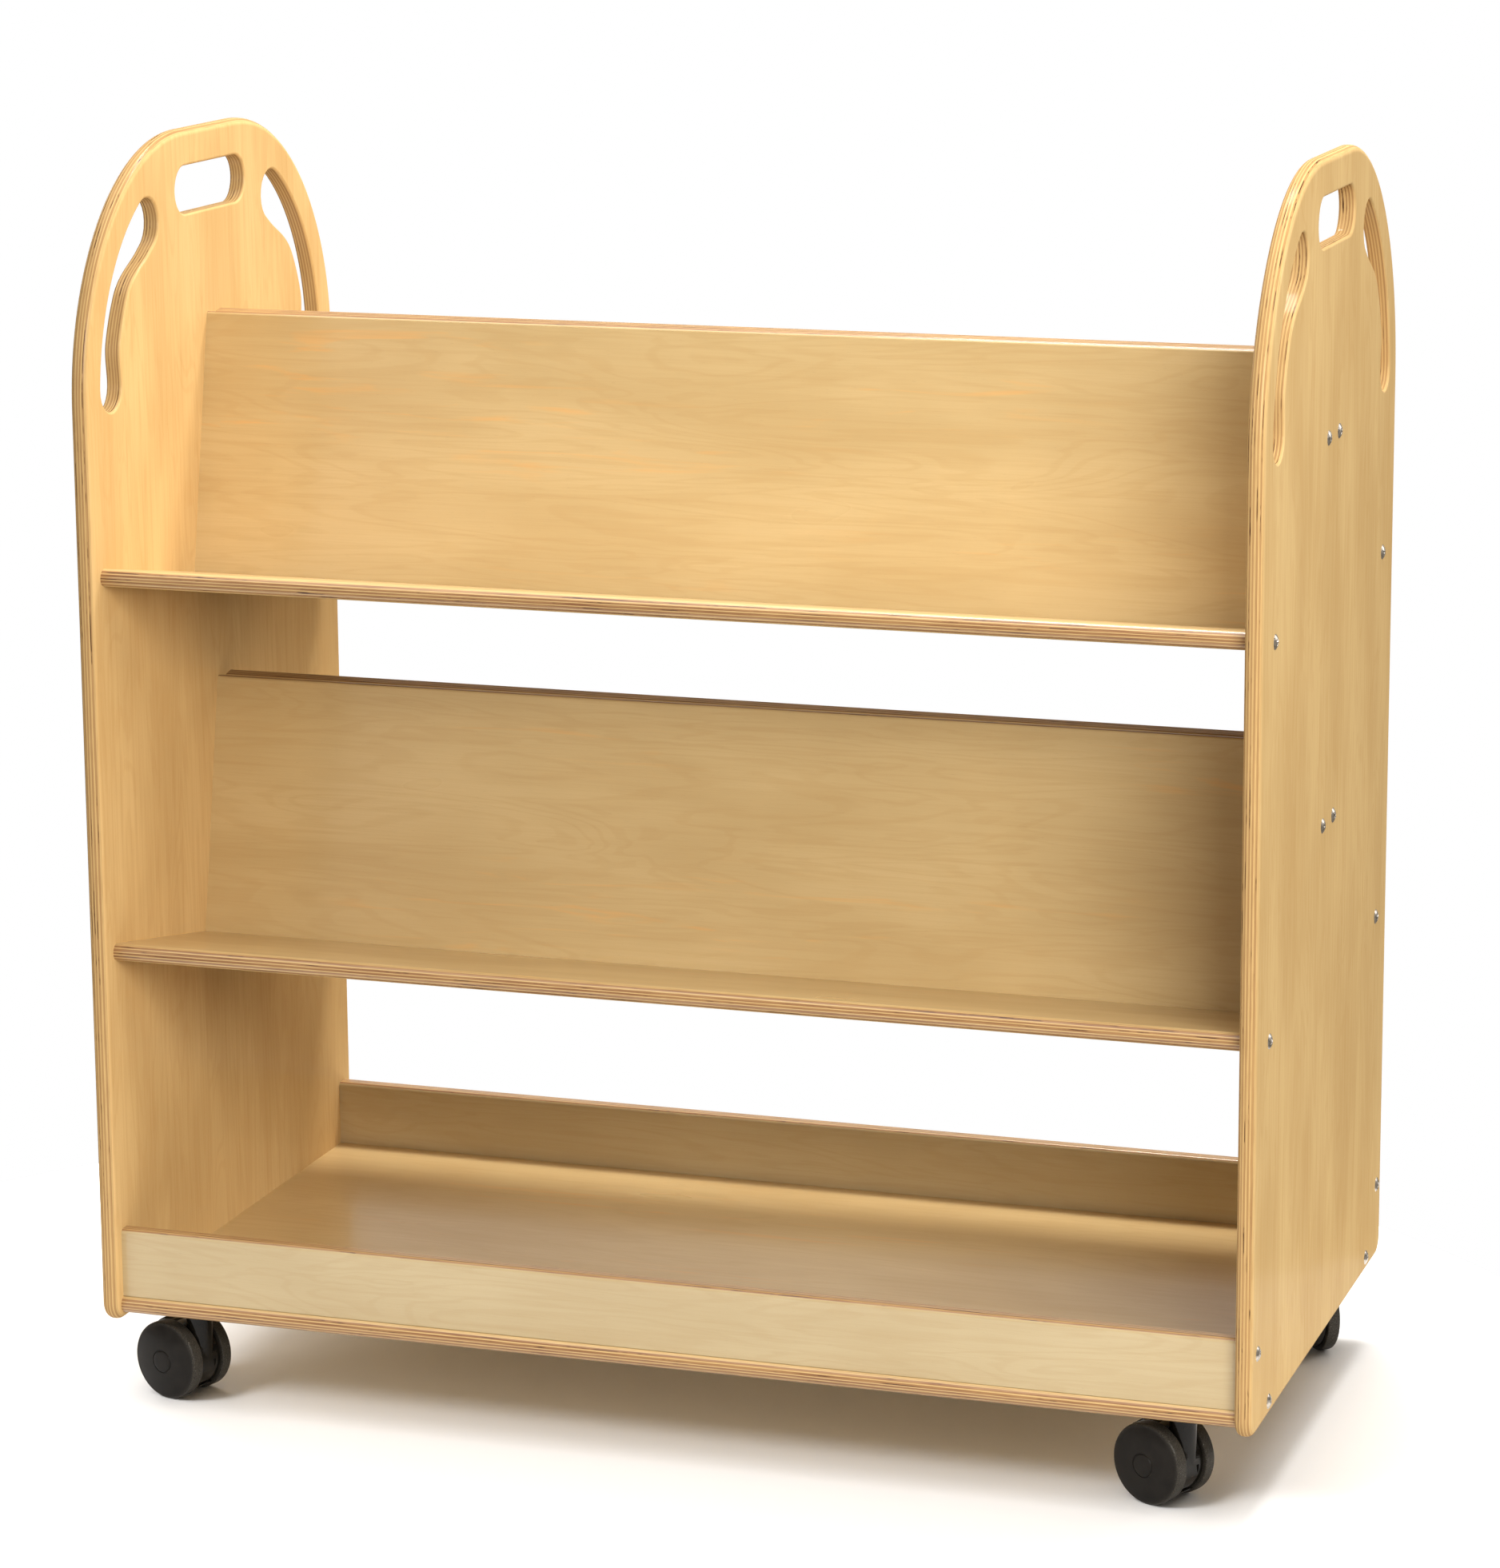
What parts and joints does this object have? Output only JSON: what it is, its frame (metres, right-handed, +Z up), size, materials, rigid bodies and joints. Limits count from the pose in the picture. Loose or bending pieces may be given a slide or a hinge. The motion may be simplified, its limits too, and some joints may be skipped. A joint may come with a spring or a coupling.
{
  "type": "book cart",
  "caption": "Double-sided plywood book cart with arched end panels, sloped shelves, a bottom tray and swivel casters.",
  "frame": {"origin": "on the ground plane, under the middle of the cart", "axes": "+X along the cart's length to its right end, +Y from the front face to the rear face, +Z up"},
  "size_m": [1.0328, 0.526, 1.102],
  "materials": {
    "panel_wood": "clear-lacquered birch plywood, vertical grain",
    "shelf_wood": "clear-lacquered birch plywood, lengthwise grain",
    "back_wood": "clear-lacquered birch plywood, lengthwise grain",
    "tray_wood": "clear-lacquered birch plywood, lengthwise grain",
    "rail_wood": "clear-lacquered pale wood",
    "screw_steel": "bright zinc-plated steel",
    "pin_steel": "turned steel",
    "plate_steel": "zinc-plated pressed steel",
    "caster_nylon": "moulded black nylon, satin",
    "wheel_nylon": "moulded black nylon, glossy",
    "lever_nylon": "moulded black nylon, satin"
  },
  "bodies": {
    "cart": {"left_end_panel": "panel_wood", "right_end_panel": "panel_wood", "upper_front_shelf": "shelf_wood", "upper_front_back": "back_wood", "upper_rear_shelf": "shelf_wood", "upper_rear_back": "back_wood", "lower_front_shelf": "shelf_wood", "lower_front_back": "back_wood", "lower_rear_shelf": "shelf_wood", "lower_rear_back": "back_wood", "tray_floor": "tray_wood", "tray_front_rail": "rail_wood", "tray_rear_rail": "rail_wood", "left_panel_screws": "screw_steel", "right_panel_screws": "screw_steel", "upper_shelf_screws": "screw_steel", "lower_shelf_screws": "screw_steel", "tray_screws": "screw_steel", "front_left_caster_plate": "plate_steel", "front_left_caster_plate_screws": "screw_steel", "front_left_caster_king_pin": "pin_steel", "front_right_caster_plate": "plate_steel", "front_right_caster_plate_screws": "screw_steel", "front_right_caster_king_pin": "pin_steel", "rear_left_caster_plate": "plate_steel", "rear_left_caster_plate_screws": "screw_steel", "rear_left_caster_king_pin": "pin_steel", "rear_right_caster_plate": "plate_steel", "rear_right_caster_plate_screws": "screw_steel", "rear_right_caster_king_pin": "pin_steel"},
    "front_left_caster_swivel": {"front_left_caster_body": "caster_nylon", "front_left_caster_axle": "pin_steel", "front_left_caster_brake_pin": "pin_steel"},
    "front_left_caster_front_wheel": {"front_left_caster_front_wheel": "wheel_nylon"},
    "front_left_caster_rear_wheel": {"front_left_caster_rear_wheel": "wheel_nylon"},
    "front_left_caster_brake": {"front_left_caster_brake_lever": "lever_nylon"},
    "front_right_caster_swivel": {"front_right_caster_body": "caster_nylon", "front_right_caster_axle": "pin_steel", "front_right_caster_brake_pin": "pin_steel"},
    "front_right_caster_front_wheel": {"front_right_caster_front_wheel": "wheel_nylon"},
    "front_right_caster_rear_wheel": {"front_right_caster_rear_wheel": "wheel_nylon"},
    "front_right_caster_brake": {"front_right_caster_brake_lever": "lever_nylon"},
    "rear_left_caster_swivel": {"rear_left_caster_body": "caster_nylon", "rear_left_caster_axle": "pin_steel"},
    "rear_left_caster_front_wheel": {"rear_left_caster_front_wheel": "wheel_nylon"},
    "rear_left_caster_rear_wheel": {"rear_left_caster_rear_wheel": "wheel_nylon"},
    "rear_right_caster_swivel": {"rear_right_caster_body": "caster_nylon", "rear_right_caster_axle": "pin_steel"},
    "rear_right_caster_front_wheel": {"rear_right_caster_front_wheel": "wheel_nylon"},
    "rear_right_caster_rear_wheel": {"rear_right_caster_rear_wheel": "wheel_nylon"}
  },
  "joints": [
    {"name": "front_left_caster_swivel_turn", "type": "hinge", "parent": "cart", "child": "front_left_caster_swivel", "pos_m": [-0.445, -0.21, 0.08], "axis": [0, 0, 1], "continuous": true},
    {"name": "front_left_caster_front_wheel_roll", "type": "hinge", "parent": "front_left_caster_swivel", "child": "front_left_caster_front_wheel", "pos_m": [-0.46402, -0.20382, 0.035], "axis": [-0.309, -0.9511, 0], "continuous": true},
    {"name": "front_left_caster_rear_wheel_roll", "type": "hinge", "parent": "front_left_caster_swivel", "child": "front_left_caster_rear_wheel", "pos_m": [-0.46402, -0.20382, 0.035], "axis": [-0.309, -0.9511, 0], "continuous": true},
    {"name": "front_left_caster_brake_press", "type": "hinge", "parent": "front_left_caster_swivel", "child": "front_left_caster_brake", "pos_m": [-0.47418, -0.20052, 0.06143], "axis": [-0.309, -0.9511, 0], "range_deg": [0, 10]},
    {"name": "front_right_caster_swivel_turn", "type": "hinge", "parent": "cart", "child": "front_right_caster_swivel", "pos_m": [0.445, -0.21, 0.08], "axis": [0, 0, 1], "continuous": true},
    {"name": "front_right_caster_front_wheel_roll", "type": "hinge", "parent": "front_right_caster_swivel", "child": "front_right_caster_front_wheel", "pos_m": [0.42687, -0.20155, 0.035], "axis": [-0.4226, -0.9063, 0], "continuous": true},
    {"name": "front_right_caster_rear_wheel_roll", "type": "hinge", "parent": "front_right_caster_swivel", "child": "front_right_caster_rear_wheel", "pos_m": [0.42687, -0.20155, 0.035], "axis": [-0.4226, -0.9063, 0], "continuous": true},
    {"name": "front_right_caster_brake_press", "type": "hinge", "parent": "front_right_caster_swivel", "child": "front_right_caster_brake", "pos_m": [0.4172, -0.19704, 0.06143], "axis": [-0.4226, -0.9063, 0], "range_deg": [0, 10]},
    {"name": "rear_left_caster_swivel_turn", "type": "hinge", "parent": "cart", "child": "rear_left_caster_swivel", "pos_m": [-0.445, 0.21, 0.08], "axis": [0, 0, 1], "continuous": true},
    {"name": "rear_left_caster_front_wheel_roll", "type": "hinge", "parent": "rear_left_caster_swivel", "child": "rear_left_caster_front_wheel", "pos_m": [-0.46379, 0.21684, 0.035], "axis": [-0.342, -0.9397, 0], "continuous": true},
    {"name": "rear_left_caster_rear_wheel_roll", "type": "hinge", "parent": "rear_left_caster_swivel", "child": "rear_left_caster_rear_wheel", "pos_m": [-0.46379, 0.21684, 0.035], "axis": [-0.342, -0.9397, 0], "continuous": true},
    {"name": "rear_right_caster_swivel_turn", "type": "hinge", "parent": "cart", "child": "rear_right_caster_swivel", "pos_m": [0.445, 0.21, 0.08], "axis": [0, 0, 1], "continuous": true},
    {"name": "rear_right_caster_front_wheel_roll", "type": "hinge", "parent": "rear_right_caster_swivel", "child": "rear_right_caster_front_wheel", "pos_m": [0.45647, 0.19362, 0.035], "axis": [0.8192, 0.5736, 0], "continuous": true},
    {"name": "rear_right_caster_rear_wheel_roll", "type": "hinge", "parent": "rear_right_caster_swivel", "child": "rear_right_caster_rear_wheel", "pos_m": [0.45647, 0.19362, 0.035], "axis": [0.8192, 0.5736, 0], "continuous": true}
  ]
}
